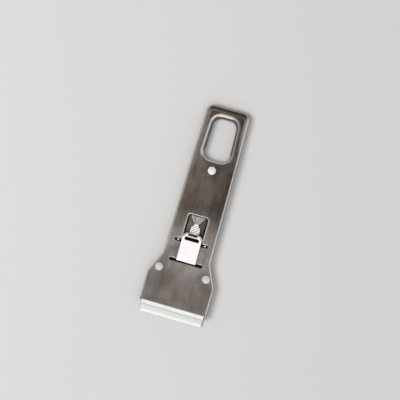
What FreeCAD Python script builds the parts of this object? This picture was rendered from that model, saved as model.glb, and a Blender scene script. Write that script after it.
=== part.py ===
import FreeCAD, Part
import os
import re
import Sketcher

# Hob scraper with a retractable blade: a stamped shell riveted to a flat back plate, a blade
# carrier sliding between them, and a formed spring leaf that the thumb presses and pushes.
# Lengths are in millimetres. Every piece is drawn from the mouth: y = 0 is the front edge of the
# lip, +y runs to the handle end, z = 0 is the face that lies on the table, +z is the front.

# Driving sizes
SIZES = (
    ("blade_width", 40.0, "cutting edge of the replaceable blade"),
    ("blade_depth", 20.0, "cutting edge to the back of the blade"),
    ("blade_sheet", 0.3, "blade thickness"),
    ("blade_reach", 4.6, "blade in front of the lip when it is out"),
    ("blade_bevel", 1.4, "width of the ground bevel"),
    ("blade_play", 1.2, "blade to the folded rim on each side"),
    ("shell_length", 134.0, "front edge of the lip to the handle end"),
    ("shell_top", 5.6, "front face above the table"),
    ("shell_sheet", 0.8, "sheet of the front shell"),
    ("rim_lift", 0.3, "folded rim above the table"),
    ("rim_front", 2.0, "lip edge to the front end of the folded rim"),
    ("bend_inside", 0.7, "inside radius of the folded rim"),
    ("head_room", 1.1, "start of the shoulders behind the blade's depth"),
    ("shoulder_length", 13.6, "length of the sloping shoulders"),
    ("shoulder_step", 6.5, "how far a shoulder draws in"),
    ("handle_taper", 2.4, "how much the handle narrows to its end"),
    ("end_corner", 5.0, "corner radius of the hang end"),
    ("root_corner", 12.0, "radius where shoulder meets handle"),
    ("head_corner", 8.0, "radius where shoulder meets head"),
    ("lip_length", 2.4, "length of the sloping lip, seen from above"),
    ("mouth_gap", 1.1, "least gap between the lip and the blade"),
    ("lip_inset", 1.5, "lip end to the side of the head"),
    ("lip_inside", 0.8, "inside radius of the lip's bend"),
    ("lip_relief", 0.45, "notch between lip and rim"),
    ("lip_back", 2.4, "length of the notch behind the bend line"),
    ("hole_margin", 7.6, "handle end to the hang hole"),
    ("hole_length", 26.8, "length of the hang hole"),
    ("hole_side", 6.9, "side of the handle end to the hang hole"),
    ("hole_taper", 1.8, "how much the hang hole widens toward the blade"),
    ("hole_corner_share", 0.338, "corner radius of the hang hole of its width"),
    ("collar_inside", 2.6, "inside radius of the sheet rolled round the hang hole"),
    ("slot_back", 2.5, "lower cross slot in front of the handle's root"),
    ("slot_side", 4.65, "cross slot to the side of the handle's root"),
    ("slot_gap", 1.9, "length of both cross slots"),
    ("slot_corner", 0.8, "corner radius of both cross slots"),
    ("wing_reach", 4.4, "cross slot beyond the side of the window"),
    ("window_length", 30.6, "lower cross slot to the far end of the window"),
    ("window_corner", 2.0, "corner radius at that end"),
    ("wing_share", 0.425, "place of the upper cross slot along the window"),
    ("edge_round", 0.25, "rolled edge of the window"),
    ("rivet_step", 4.3, "shoulder rivets behind the start of the shoulders"),
    ("rivet_inset", 6.5, "shoulder rivet to the side of the head"),
    ("rivet_back", 6.9, "handle rivet to the hang hole"),
    ("shank_diameter", 3.0, "rivet shank"),
    ("rivet_head", 5.2, "rivet head diameter"),
    ("rivet_dome", 1.0, "rivet head height"),
    ("tail_depth", 0.6, "countersunk tail in the back plate"),
    ("rivet_gap", 0.03, "radial play of a shank in its holes"),
    ("seat_margin", 0.3, "coined seat round a rivet head"),
    ("seat_depth", 0.25, "depth of that seat"),
    ("sleeve_wall", 1.0, "wall of a spacer sleeve"),
    ("plate_sheet", 0.8, "sheet of the back plate"),
    ("plate_front", 0.5, "lip edge to the front of the back plate"),
    ("plate_gap", 0.25, "play between back plate and folded rim"),
    ("run_gap", 0.1, "play between back plate and carrier"),
    ("carrier_sheet", 0.6, "sheet of the blade carrier"),
    ("carrier_inset", 0.5, "carrier inside the end of the blade"),
    ("carrier_front", 1.2, "lip edge to the front of the carrier"),
    ("carrier_corner", 1.5, "corner radius of the carrier"),
    ("guide_gap", 0.2, "play between carrier stem and spacers"),
    ("retract_depth", 1.9, "cutting edge inside the lip when it is in"),
    ("stop_gap", 0.1, "carrier to the spacers when the blade is in"),
    ("stem_length", 8.5, "carrier stem behind the slider's toe"),
    ("peg_back", 7.8, "blade pegs behind the carrier's front"),
    ("peg_inset", 8.0, "blade peg to the end of the blade"),
    ("peg_diameter", 2.8, "blade peg"),
    ("peg_proud", 0.5, "peg above the blade"),
    ("peg_chamfer", 0.3, "chamfer of the peg"),
    ("peg_gap", 0.1, "radial play of the blade on a peg"),
    ("press_gap", 0.02, "radial play of a peg in the carrier"),
    ("leaf_sheet", 0.5, "sheet of the thumb slider"),
    ("leaf_play", 0.2, "thumb slider to the side of the window"),
    ("toe_step", 4.7, "toe in front of the lower cross slot"),
    ("toe_gap", 0.2, "play of the toe in the carrier"),
    ("foot_gap", 0.3, "slider above the carrier"),
    ("riser_step", 1.2, "foot of the riser in front of the slot's middle"),
    ("ramp_step", 0.2, "low end of the ramp behind the slot's middle"),
    ("ramp_dip", 0.1, "underside of that end below the shell's face"),
    ("ramp_share", 0.544, "length of the ramp along the window"),
    ("crest_rise", 1.75, "underside of the crest above the shell's face"),
    ("crest_back", 1.4, "crest to the front rim of the dish"),
    ("dish_play", 0.5, "back rim of the dish to the end of the window"),
    ("dish_gap", 0.15, "dish rim below the shell sheet"),
    ("dish_depth", 1.85, "depth of the dish"),
    ("rim_edge", 0.8, "flat edge round the dish"),
    ("front_share", 0.1, "front wall along the dish"),
    ("back_share", 0.37, "back wall along the dish"),
    ("floor_share", 0.5, "floor width of the slider's width"),
    ("rib_inset", 0.5, "first and last rib inside the floor"),
    ("rib_share", 0.9, "longest rib of the floor width"),
    ("rib_radius", 0.45, "rib section"),
    ("punch_share", 0.75, "width of the slot punched before the crest"),
    ("punch_step", 3.1, "that slot in front of the crest"),
    ("punch_length", 2.3, "length of that slot"),
    ("ear_play", 0.55, "ear to the end of the cross slot"),
    ("ear_length", 1.5, "length of an ear"),
    ("ear_gap", 0.8, "ear below the shell sheet"),
    ("leg_length", 1.5, "length of the leg that carries an ear"),
    ("pimple_radius", 0.9, "ball radius of a detent pimple"),
    ("pimple_rise", 0.3, "pimple above its ear"),
    ("overrun", 5.0, "how far a cut runs past the metal"),
)

# Sizes that follow from the driving ones
DERIVED = {
    "head_width": "blade_width + 2 * (blade_play + shell_sheet)",
    "head_length": "blade_depth + head_room",
    "root_width": "head_width - 2 * shoulder_step",
    "end_width": "root_width - handle_taper",
    "bend_radius": "bend_inside + shell_sheet",
    "collar_radius": "collar_inside + shell_sheet",
    "lip_bend": "lip_inside + shell_sheet",
    "lip_width": "head_width - 2 * lip_inset",
    "lip_drop": "shell_under - blade_top - mouth_gap",
    "shell_under": "shell_top - shell_sheet",
    "inset": "shell_sheet + plate_gap",
    "hole_end": "shell_length - hole_margin",
    "hole_root": "hole_end - hole_length",
    "hole_end_width": "end_width - 2 * hole_side",
    "hole_root_width": "hole_end_width + hole_taper",
    "hole_corner": "hole_corner_share * hole_end_width",
    "slot_at": "head_length + shoulder_length - slot_back",
    "slot_width": "root_width - 2 * slot_side",
    "window_width": "slot_width - 2 * wing_reach",
    "window_end": "slot_at + window_length",
    "wing_at": "slot_at + wing_share * window_length",
    "handle_rivet_at": "hole_root - rivet_back",
    "shoulder_rivet_at": "head_length + rivet_step",
    "rivet_spacing": "head_width - 2 * rivet_inset",
    "rivet_seat": "shell_top - seat_depth",
    "seat_diameter": "rivet_head + 2 * seat_margin",
    "sleeve_diameter": "shank_diameter + 2 * sleeve_wall",
    "carrier_low": "plate_sheet + run_gap",
    "carrier_top": "carrier_low + carrier_sheet",
    "carrier_width": "blade_width - 2 * carrier_inset",
    "carrier_shoulder": "shoulder_rivet_at - sleeve_diameter / 2 - stop_gap - retract_depth - blade_reach",
    "stem_width": "rivet_spacing - sleeve_diameter - 2 * guide_gap",
    "stem_end": "toe_at + stem_length",
    "blade_top": "carrier_top + blade_sheet",
    "peg_at": "carrier_front + peg_back",
    "peg_spacing": "blade_width - 2 * peg_inset",
    "peg_tip": "blade_top + peg_proud",
    "leaf_width": "window_width - 2 * leaf_play",
    "toe_at": "slot_at - toe_step",
    "foot_high": "carrier_top + foot_gap",
    "riser_at": "slot_at - riser_step",
    "ramp_at": "slot_at + ramp_step",
    "ramp_low": "shell_top - ramp_dip",
    "crest_at": "ramp_at + ramp_share * window_length",
    "crest_high": "shell_top + crest_rise",
    "dish_at": "crest_at + crest_back",
    "dish_end": "window_end - dish_play",
    "dish_rim": "shell_under - dish_gap",
    "floor_at": "dish_at + front_share * (dish_end - dish_at)",
    "floor_end": "dish_end - back_share * (dish_end - dish_at)",
    "floor_width": "floor_share * leaf_width",
    "rib_at": "floor_at + rib_inset",
    "rib_pitch": "(floor_end - floor_at - 2 * rib_inset) / 4",
    "rib_width": "rib_share * floor_width",
    "punch_at": "crest_at - punch_step",
    "punch_width": "punch_share * leaf_width",
    "ear_top": "shell_under - ear_gap",
    "ear_span": "slot_width - 2 * ear_play",
    "leg_from": "wing_at - leg_length",
    "leg_share": "(wing_at - leg_length / 2 - ramp_at) / (crest_at - ramp_at)",
    "leg_top": "ramp_low + leg_share * (crest_high - ramp_low) + leaf_sheet / 2",
    "pimple_at": "(window_width + slot_width) / 4",
    "mouth": "(blade_reach - shell_length) / 2",
}
RIB_SHARES = (1.0, 1.0, 0.96, 0.88, 0.34)
MATCH = 0.001

doc = FreeCAD.newDocument("HobScraper")
sheet = doc.addObject("Spreadsheet::Sheet", "Sizes")
for row, (alias, number, note) in enumerate(SIZES, start=1):
    sheet.set(f"A{row}", note)
    sheet.set(f"B{row}", str(number))
    sheet.setAlias(f"B{row}", alias)
doc.recompute()
ALIASES = {alias for alias, number, note in SIZES}


# Expressions: a word is a driving size in the sheet, or one that follows from others
def bound(text):
    def expand(word):
        name = word[0]
        if name in DERIVED:
            return "(" + bound(DERIVED[name]) + ")"
        return "Sizes." + name if name in ALIASES else name

    return re.sub(r"[a-z_]+", expand, text)


def value(text):
    return float(sheet.evalExpression(bound(text)))


# Sketch helpers
def sketch_on(body, name, role, lift=None):
    sketch = body.newObject("Sketcher::SketchObject", name)
    plane = next(feature for feature in body.Origin.OriginFeatures if feature.Role == role)
    sketch.AttachmentSupport = [(plane, "")]
    sketch.MapMode = "FlatFace"
    if lift:
        sketch.setExpression("AttachmentOffset.Base.z", bound(lift))
    return sketch


def pin(sketch, line, end, x, y):
    for kind, axis, text in (("DistanceX", -2, x), ("DistanceY", -1, y)):
        if text == "0":
            sketch.addConstraint(Sketcher.Constraint("PointOnObject", line, end, axis))
        else:
            index = sketch.addConstraint(Sketcher.Constraint(kind, -1, 1, line, end, value(text)))
            sketch.setExpression(f"Constraints[{index}]", bound(text))


def path(sketch, points, closed):
    spots = [FreeCAD.Vector(value(x), value(y), 0) for x, y in points]
    count = len(spots) if closed else len(spots) - 1
    lines = [
        sketch.addGeometry(Part.LineSegment(spots[i], spots[(i + 1) % len(spots)])) for i in range(count)
    ]
    for i in range(count if closed else count - 1):
        sketch.addConstraint(Sketcher.Constraint("Coincident", lines[i], 2, lines[(i + 1) % count], 1))
    for line, (x, y) in zip(lines, points):
        pin(sketch, line, 1, x, y)
    if not closed:
        pin(sketch, lines[-1], 2, *points[-1])
    return lines


def mirrored(half):
    return half + [(f"-({x})", y) for x, y in reversed(half)]


def circle(sketch, x, y, diameter):
    centre = FreeCAD.Vector(value(x), value(y), 0)
    ring = sketch.addGeometry(Part.Circle(centre, FreeCAD.Vector(0, 0, 1), value(diameter) / 2))
    pin(sketch, ring, 3, x, y)
    index = sketch.addConstraint(Sketcher.Constraint("Diameter", ring, value(diameter)))
    sketch.setExpression(f"Constraints[{index}]", bound(diameter))


# Feature helpers
def new_body(label):
    body = doc.addObject("PartDesign::Body", label)
    body.Label = label
    return body


def pad(body, sketch, length, middle=False):
    feature = body.newObject("PartDesign::Pad", sketch.Name + "_pad")
    feature.Profile = sketch
    feature.setExpression("Length", bound(length))
    feature.Midplane = middle
    doc.recompute()
    return feature


def pocket(body, sketch, depth=None):
    feature = body.newObject("PartDesign::Pocket", sketch.Name + "_cut")
    feature.Profile = sketch
    if depth:
        feature.setExpression("Length", bound(depth))
    else:
        feature.Type = "ThroughAll"
        feature.Midplane = True
    doc.recompute()
    return feature


def revolve(body, sketch):
    feature = body.newObject("PartDesign::Revolution", sketch.Name + "_turn")
    feature.Profile = sketch
    feature.ReferenceAxis = (sketch, ["V_Axis"])
    feature.Angle = 360
    doc.recompute()
    return feature


def dress(body, kind, name, base, edges, amount):
    feature = body.newObject("PartDesign::" + kind, name)
    feature.Base = (base, edges)
    feature.setExpression("Radius" if kind == "Fillet" else "Size", bound(amount))
    doc.recompute()
    return feature


def edge_names(shape, wanted):
    return [f"Edge{i}" for i, edge in enumerate(shape.Edges, start=1) if wanted(edge)]


def round_corners(body, name, base, corners, radius):
    spots = [(value(x), value(y)) for x, y in corners]

    def upright(edge):
        box = edge.BoundBox
        if box.XLength > MATCH or box.YLength > MATCH:
            return False
        return any(abs(box.XMin - x) < MATCH and abs(box.YMin - y) < MATCH for x, y in spots)

    return dress(body, "Fillet", name, base, edge_names(base.Shape, upright), radius)


def both_sides(*corners):
    return list(corners) + [(f"-({x})", y) for x, y in corners]


def flat_at(edge, z):
    box = edge.BoundBox
    return abs(box.ZMin - z) < MATCH and abs(box.ZMax - z) < MATCH


def across(edge, y, z):
    return flat_at(edge, z) and abs(edge.CenterOfMass.y - y) < MATCH


def inside(edge, x, low, high):
    spot = edge.CenterOfMass
    return abs(spot.x) < x and low < spot.y < high


def set_at(body, x, along):
    body.setExpression("Placement.Base.y", bound(f"mouth + {along}"))
    if x != "0":
        body.setExpression("Placement.Base.x", bound(x))


# Shared outlines
RIVETS = (
    ("handle", "0", "handle_rivet_at"),
    ("left_shoulder", "-rivet_spacing / 2", "shoulder_rivet_at"),
    ("right_shoulder", "rivet_spacing / 2", "shoulder_rivet_at"),
)


def shell_half(inset, front):
    return [
        (f"head_width / 2 - ({inset})", front),
        (f"head_width / 2 - ({inset})", "head_length"),
        (f"root_width / 2 - ({inset})", "head_length + shoulder_length"),
        (f"end_width / 2 - ({inset})", f"shell_length - ({inset})"),
    ]


def hole_half(grow):
    return [
        (f"hole_root_width / 2 + {grow}", f"hole_root - ({grow})"),
        (f"hole_end_width / 2 + {grow}", f"hole_end + {grow}"),
    ]


def rounded_outline(body, base, half, inset):
    feature = round_corners(body, "end_corners", base, both_sides(half[3]), f"end_corner - ({inset})")
    feature = round_corners(body, "root_corners", feature, both_sides(half[2]), f"root_corner + {inset}")
    return round_corners(body, "head_corners", feature, both_sides(half[1]), f"head_corner - ({inset})")


# Front shell: one block with rolled edges, hollowed to sheet, then the lip and the cut-outs
shell = new_body("front_shell")
half = shell_half("0", "rim_front")
sketch = sketch_on(shell, "shell_outline", "XY_Plane", "rim_lift")
path(sketch, mirrored(half), True)
block = pad(shell, sketch, "shell_top - rim_lift")
block = rounded_outline(shell, block, half, "0")

half = hole_half("0")
sketch = sketch_on(shell, "shell_hole", "XY_Plane")
path(sketch, mirrored(half), True)
block = pocket(shell, sketch)
block = round_corners(shell, "hole_corners", block, both_sides(*half), "hole_corner")

top = value("shell_top")
hole_box = (value("hole_root_width / 2") + MATCH, value("hole_root") - MATCH, value("hole_end") + MATCH)
front = value("rim_front") + MATCH
rim = edge_names(
    block.Shape,
    lambda edge: flat_at(edge, top) and edge.BoundBox.YMax > front and not inside(edge, *hole_box),
)
block = dress(shell, "Fillet", "rim_bend", block, rim, "bend_radius")
rim = edge_names(block.Shape, lambda edge: flat_at(edge, top) and inside(edge, *hole_box))
block = dress(shell, "Fillet", "collar_bend", block, rim, "collar_radius")

open_faces = []
for i, face in enumerate(block.Shape.Faces, start=1):
    below = face.BoundBox.ZMax < value("rim_lift") + MATCH
    ahead = face.BoundBox.YMax < front
    if below or ahead:
        open_faces.append(f"Face{i}")
hollow = shell.newObject("PartDesign::Thickness", "hollow")
hollow.Base = (block, open_faces)
hollow.Reversed = True
hollow.setExpression("Value", bound("shell_sheet"))
doc.recompute()

sketch = sketch_on(shell, "lip_notch", "XY_Plane")
notch_side = "lip_width / 2 + lip_relief"
path(sketch, mirrored([(notch_side, "rim_front - overrun"), (notch_side, "lip_length + lip_back")]), True)
pocket(shell, sketch)

lip_run = "sqrt(lip_length ^ 2 + lip_drop ^ 2)"
sketch = sketch_on(shell, "lip", "YZ_Plane")
path(
    sketch,
    [
        ("lip_length", "shell_top"),
        ("0", "shell_top - lip_drop"),
        (
            f"shell_sheet * lip_drop / {lip_run}",
            f"shell_top - lip_drop - shell_sheet * lip_length / {lip_run}",
        ),
        (f"lip_length + shell_sheet * ({lip_run} - lip_length) / lip_drop", "shell_under"),
        ("lip_length + lip_back", "shell_under"),
        ("lip_length + lip_back", "shell_top"),
    ],
    True,
)
lip = pad(shell, sketch, "lip_width", middle=True)
outer = value("lip_length")
inner = value(f"lip_length + shell_sheet * ({lip_run} - lip_length) / lip_drop")
bend = edge_names(lip.Shape, lambda edge: across(edge, outer, top))
lip = dress(shell, "Fillet", "lip_outside", lip, bend, "lip_bend")
bend = edge_names(lip.Shape, lambda edge: across(edge, inner, value("shell_under")))
lip = dress(shell, "Fillet", "lip_inside", lip, bend, "lip_bend - shell_sheet")

slot_low = "slot_at - slot_gap / 2"
slot_high = "slot_at + slot_gap / 2"
wing_low = "wing_at - slot_gap / 2"
wing_high = "wing_at + slot_gap / 2"
half = [
    ("slot_width / 2", slot_low),
    ("slot_width / 2", slot_high),
    ("window_width / 2", slot_high),
    ("window_width / 2", wing_low),
    ("slot_width / 2", wing_low),
    ("slot_width / 2", wing_high),
    ("window_width / 2", wing_high),
    ("window_width / 2", "window_end"),
]
sketch = sketch_on(shell, "cut_out", "XY_Plane")
path(sketch, mirrored(half), True)
cut = pocket(shell, sketch)
slot_ends = both_sides(half[0], half[1], half[4], half[5])
cut = round_corners(shell, "slot_ends", cut, slot_ends, "slot_corner")
cut = round_corners(shell, "window_corners", cut, both_sides(half[7]), "window_corner")
cut_box = (value("slot_width / 2") + MATCH, value(slot_low) - MATCH, value("window_end") + MATCH)
rim = edge_names(cut.Shape, lambda edge: flat_at(edge, top) and inside(edge, *cut_box))
cut = dress(shell, "Fillet", "cut_out_edge", cut, rim, "edge_round")

sketch = sketch_on(shell, "rivet_seats", "XY_Plane", "shell_top")
for name, x, y in RIVETS:
    circle(sketch, x, y, "seat_diameter")
pocket(shell, sketch, "seat_depth")
sketch = sketch_on(shell, "rivet_holes", "XY_Plane")
for name, x, y in RIVETS:
    circle(sketch, x, y, "shank_diameter + 2 * rivet_gap")
pocket(shell, sketch)
set_at(shell, "0", "0")

# Back plate: flat sheet inside the folded rim, with countersinks for the rivet tails
plate = new_body("back_plate")
half = shell_half("inset", "plate_front")
sketch = sketch_on(plate, "plate_outline", "XY_Plane")
path(sketch, mirrored(half), True)
flat = pad(plate, sketch, "plate_sheet")
flat = rounded_outline(plate, flat, half, "inset")
half = hole_half("inset")
sketch = sketch_on(plate, "plate_hole", "XY_Plane")
path(sketch, mirrored(half), True)
flat = pocket(plate, sketch)
flat = round_corners(plate, "plate_hole_corners", flat, both_sides(*half), "hole_corner + inset")
sketch = sketch_on(plate, "plate_rivet_holes", "XY_Plane")
for name, x, y in RIVETS:
    circle(sketch, x, y, "shank_diameter + 2 * rivet_gap")
flat = pocket(plate, sketch)
hole_radius = value("shank_diameter / 2 + rivet_gap")
sink = edge_names(
    flat.Shape,
    lambda edge: flat_at(edge, 0) and abs(getattr(edge.Curve, "Radius", 0) - hole_radius) < MATCH,
)
dress(plate, "Chamfer", "countersinks", flat, sink, "tail_depth")
set_at(plate, "0", "0")

# Rivets with a low dome in front and a flush countersunk tail behind, each with a spacer sleeve
for name, x, y in RIVETS:
    rivet = new_body(name + "_rivet")
    sketch = sketch_on(rivet, name + "_section", "XZ_Plane")
    lines = path(
        sketch,
        [
            ("0", "rivet_seat + rivet_dome"),
            ("0", "0"),
            ("shank_diameter / 2 + tail_depth", "0"),
            ("shank_diameter / 2", "tail_depth"),
            ("shank_diameter / 2", "rivet_seat"),
            ("rivet_head / 2", "rivet_seat"),
        ],
        False,
    )
    dome = "((rivet_head / 2) ^ 2 + rivet_dome ^ 2) / (2 * rivet_dome)"
    middle = FreeCAD.Vector(0, value(f"rivet_seat + rivet_dome - {dome}"), 0)
    edge = FreeCAD.Vector(value("rivet_head / 2"), value("rivet_seat"), 0)
    crown = FreeCAD.Vector(0, value("rivet_seat + rivet_dome"), 0)
    ring = Part.Circle(middle, FreeCAD.Vector(0, 0, 1), value(dome))
    arc = sketch.addGeometry(Part.ArcOfCircle(ring, ring.parameter(edge), ring.parameter(crown)))
    sketch.addConstraint(Sketcher.Constraint("Coincident", arc, 1, lines[-1], 2))
    sketch.addConstraint(Sketcher.Constraint("Coincident", arc, 2, lines[0], 1))
    sketch.addConstraint(Sketcher.Constraint("PointOnObject", arc, 3, -2))
    revolve(rivet, sketch)
    set_at(rivet, x, y)

    sleeve = new_body(name + "_spacer")
    sketch = sketch_on(sleeve, name + "_ring", "XY_Plane", "plate_sheet")
    circle(sketch, "0", "0", "sleeve_diameter")
    circle(sketch, "0", "0", "shank_diameter + 2 * rivet_gap")
    pad(sleeve, sketch, "shell_under - plate_sheet")
    set_at(sleeve, x, y)

# Blade carrier: a T-shaped plate whose stem runs between the shoulder spacers
carrier = new_body("blade_carrier")
half = [
    ("carrier_width / 2", "carrier_front"),
    ("carrier_width / 2", "carrier_shoulder"),
    ("stem_width / 2", "carrier_shoulder"),
    ("stem_width / 2", "stem_end"),
]
sketch = sketch_on(carrier, "carrier_outline", "XY_Plane", "carrier_low")
path(sketch, mirrored(half), True)
slab = pad(carrier, sketch, "carrier_sheet")
corners = both_sides(half[0], half[1], half[3])
round_corners(carrier, "carrier_corners", slab, corners, "carrier_corner")
sketch = sketch_on(carrier, "toe_slot", "XY_Plane")
toe_side = "leaf_width / 2 + toe_gap"
path(sketch, mirrored([(toe_side, "toe_at - leaf_sheet - toe_gap"), (toe_side, "toe_at + toe_gap")]), True)
pocket(carrier, sketch)
sketch = sketch_on(carrier, "carrier_peg_holes", "XY_Plane")
for side in ("-", ""):
    circle(sketch, side + "peg_spacing / 2", "peg_at", "peg_diameter + 2 * press_gap")
pocket(carrier, sketch)
set_at(carrier, "0", "0")

# Blade: ground from both faces to an edge in the middle of its thickness, held by two round holes
blade = new_body("blade")
sketch = sketch_on(blade, "blade_section", "YZ_Plane")
path(
    sketch,
    [
        ("-blade_reach", "carrier_top + blade_sheet / 2"),
        ("blade_bevel - blade_reach", "carrier_top"),
        ("blade_depth - blade_reach", "carrier_top"),
        ("blade_depth - blade_reach", "blade_top"),
        ("blade_bevel - blade_reach", "blade_top"),
    ],
    True,
)
pad(blade, sketch, "blade_width", middle=True)
sketch = sketch_on(blade, "blade_holes", "XY_Plane")
for side in ("-", ""):
    circle(sketch, side + "peg_spacing / 2", "peg_at", "peg_diameter + 2 * peg_gap")
pocket(blade, sketch)
set_at(blade, "0", "0")

# Blade pegs: riveted into the carrier, standing through the blade
for name, side in (("left", "-"), ("right", "")):
    peg = new_body(name + "_blade_peg")
    sketch = sketch_on(peg, name + "_peg_section", "XZ_Plane")
    path(
        sketch,
        [
            ("0", "carrier_low"),
            ("peg_diameter / 2", "carrier_low"),
            ("peg_diameter / 2", "peg_tip - peg_chamfer"),
            ("peg_diameter / 2 - peg_chamfer", "peg_tip"),
            ("0", "peg_tip"),
        ],
        True,
    )
    revolve(peg, sketch)
    set_at(peg, side + "peg_spacing / 2", "peg_at")


# Thumb slider: a strip bent along one line, with a pressed dish, ribs, and ears on two legs
def primitive(kind, name, **sizes):
    solid = doc.addObject("Part::" + kind, name)
    for prop, text in sizes.items():
        solid.setExpression(prop, bound(text))
    return solid


def place(solid, x, y, z, turn=None):
    if turn:
        solid.Placement.Rotation = turn
    for axis, text in (("x", x), ("y", y), ("z", z)):
        if text != "0":
            solid.setExpression("Placement.Base." + axis, bound(text))
    return solid


AXES_TO_YZX = FreeCAD.Rotation(FreeCAD.Vector(1, 1, 1), 120)
Y_TO_Z = FreeCAD.Rotation(FreeCAD.Vector(1, 0, 0), 90)
Z_TO_X = FreeCAD.Rotation(FreeCAD.Vector(0, 1, 0), 90)

line = doc.addObject("Sketcher::SketchObject", "leaf_line")
path(
    line,
    [
        ("toe_at", "carrier_low + run_gap"),
        ("toe_at", "foot_high"),
        ("riser_at", "foot_high"),
        ("ramp_at", "ramp_low"),
        ("crest_at", "crest_high"),
        ("dish_at", "dish_rim - leaf_sheet"),
        ("dish_at + rim_edge", "dish_rim - leaf_sheet"),
    ],
    False,
)
place(line, "0", "mouth", "0", AXES_TO_YZX)
section = doc.addObject("Part::Offset2D", "leaf_section")
section.Source = line
section.Fill = True
section.Mode = "Skin"
section.setExpression("Value", bound("-leaf_sheet"))
strip = doc.addObject("Part::Extrusion", "leaf_strip")
strip.Base = section
strip.DirMode = "Custom"
strip.Dir = FreeCAD.Vector(1, 0, 0)
strip.Solid = True
strip.Symmetric = True
strip.setExpression("LengthFwd", bound("leaf_width"))
punch = primitive("Box", "punch", Length="punch_width", Width="punch_length", Height="crest_high + overrun")
place(punch, "-punch_width / 2", "mouth + punch_at", "0")
punched = doc.addObject("Part::Cut", "punched_strip")
punched.Base = strip
punched.Tool = punch

pans = []
DISH_WEDGES = (
    ("dish_under", "0", "dish_depth + leaf_sheet"),
    ("dish_hollow", "rim_edge", "dish_depth"),
)
for name, edge, low in DISH_WEDGES:
    pan = primitive(
        "Wedge",
        name,
        Xmin="-floor_width / 2",
        Xmax="floor_width / 2",
        X2min=f"{edge} - leaf_width / 2",
        X2max=f"leaf_width / 2 - {edge}",
        Ymin=f"-({low})",
        Ymax="0",
        Zmin="-floor_end",
        Zmax="-floor_at",
        Z2min=f"{edge} - dish_end",
        Z2max=f"-(dish_at + {edge})",
    )
    pans.append(place(pan, "0", "mouth", "dish_rim", Y_TO_Z))
dish = doc.addObject("Part::Cut", "dish")
dish.Base, dish.Tool = pans

pieces = [punched, dish]
for i, share in enumerate(RIB_SHARES):
    rib = primitive("Cylinder", f"rib_{i + 1}", Radius="rib_radius", Height=f"rib_width * {share}")
    along = f"mouth + rib_at + {i} * rib_pitch"
    pieces.append(place(rib, f"-rib_width * {share} / 2", along, "dish_rim - dish_depth", Z_TO_X))
for name, side in (("left", "-"), ("right", "")):
    leg_side = "leaf_width / 2 - leaf_sheet" if name == "right" else "-leaf_width / 2"
    leg = primitive(
        "Box",
        name + "_leg",
        Length="leaf_sheet",
        Width="leg_length",
        Height="leg_top - ear_top + leaf_sheet",
    )
    place(leg, leg_side, "mouth + leg_from", "ear_top - leaf_sheet")
    ear_side = "leaf_width / 2 - leaf_sheet" if name == "right" else "-ear_span / 2"
    ear = primitive(
        "Box",
        name + "_ear",
        Length="(ear_span - leaf_width) / 2 + leaf_sheet",
        Width="ear_length",
        Height="leaf_sheet",
    )
    place(ear, ear_side, "mouth + wing_at - ear_length / 2", "ear_top - leaf_sheet")
    pimple = primitive("Sphere", name + "_pimple", Radius="pimple_radius")
    pimple.setExpression("Angle1", "asin(1 - " + bound("pimple_rise / pimple_radius") + ")")
    place(pimple, side + "pimple_at", "mouth + wing_at", "ear_top + pimple_rise - pimple_radius")
    pieces += [leg, ear, pimple]
slider = doc.addObject("Part::MultiFuse", "thumb_slider")
slider.Label = "thumb_slider"
slider.Shapes = pieces
slider.Refine = True
doc.recompute()

# Checks, then one file for each piece
nodes = [item for item in doc.Objects if item.TypeId == "PartDesign::Body"] + [slider]
for item in doc.Objects:
    if "Invalid" in item.State or "Error" in item.State:
        raise SystemExit(f"{item.Label}: {item.State}")
os.makedirs("parts", exist_ok=True)
for node in nodes:
    shape = node.Shape
    if shape.isNull() or not shape.isValid() or len(shape.Solids) != 1:
        raise SystemExit(f"{node.Label}: bad shape, {len(shape.Solids)} solids")
    shape.exportStep(f"parts/{node.Label}.step")
    box = shape.optimalBoundingBox()
    print(f"{node.Label}: {box.XLength:.1f} x {box.YLength:.1f} x {box.ZLength:.1f} mm")
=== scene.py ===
# %% [markdown]
# # A pressed-steel hob scraper, dressed in Blender
# The scraper is a stamped shell riveted to a flat back plate. Between them a carrier slides with
# the blade on it, and a spring leaf with a thumb dish pushes it. The solids are already built and
# packed, so this lesson starts from them and gives each piece its mesh and its finish.
# Lengths here are in metres, and MM turns the millimetres of a drawing into them.

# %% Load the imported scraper
import math

import bmesh
import bpy
import numpy as np
from mathutils import Matrix, Vector


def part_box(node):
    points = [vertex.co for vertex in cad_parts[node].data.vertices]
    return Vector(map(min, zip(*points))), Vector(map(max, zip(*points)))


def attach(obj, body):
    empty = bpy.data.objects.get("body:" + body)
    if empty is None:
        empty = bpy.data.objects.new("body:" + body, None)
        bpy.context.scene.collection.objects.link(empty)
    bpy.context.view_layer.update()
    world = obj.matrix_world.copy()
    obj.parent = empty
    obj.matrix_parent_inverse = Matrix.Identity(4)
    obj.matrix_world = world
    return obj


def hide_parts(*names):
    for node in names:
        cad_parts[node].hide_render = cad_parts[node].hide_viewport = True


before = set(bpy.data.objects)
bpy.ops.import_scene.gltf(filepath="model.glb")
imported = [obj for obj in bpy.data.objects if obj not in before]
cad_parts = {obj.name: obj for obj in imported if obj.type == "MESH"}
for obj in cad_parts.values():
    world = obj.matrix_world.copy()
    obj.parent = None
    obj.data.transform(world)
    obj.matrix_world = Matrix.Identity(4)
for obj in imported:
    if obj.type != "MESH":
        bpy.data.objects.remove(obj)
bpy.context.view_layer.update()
MM = 0.001
print("solids:", sorted(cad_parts))

# %% [markdown]
# ## Camera
# The photograph looks almost straight down at a scraper that lies on its back, turned 16 degrees,
# with the hang hole at the upper right. A long lens keeps its sides parallel. The camera is
# placed by three directions: the one towards it, the picture's up and the picture's right.

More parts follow.
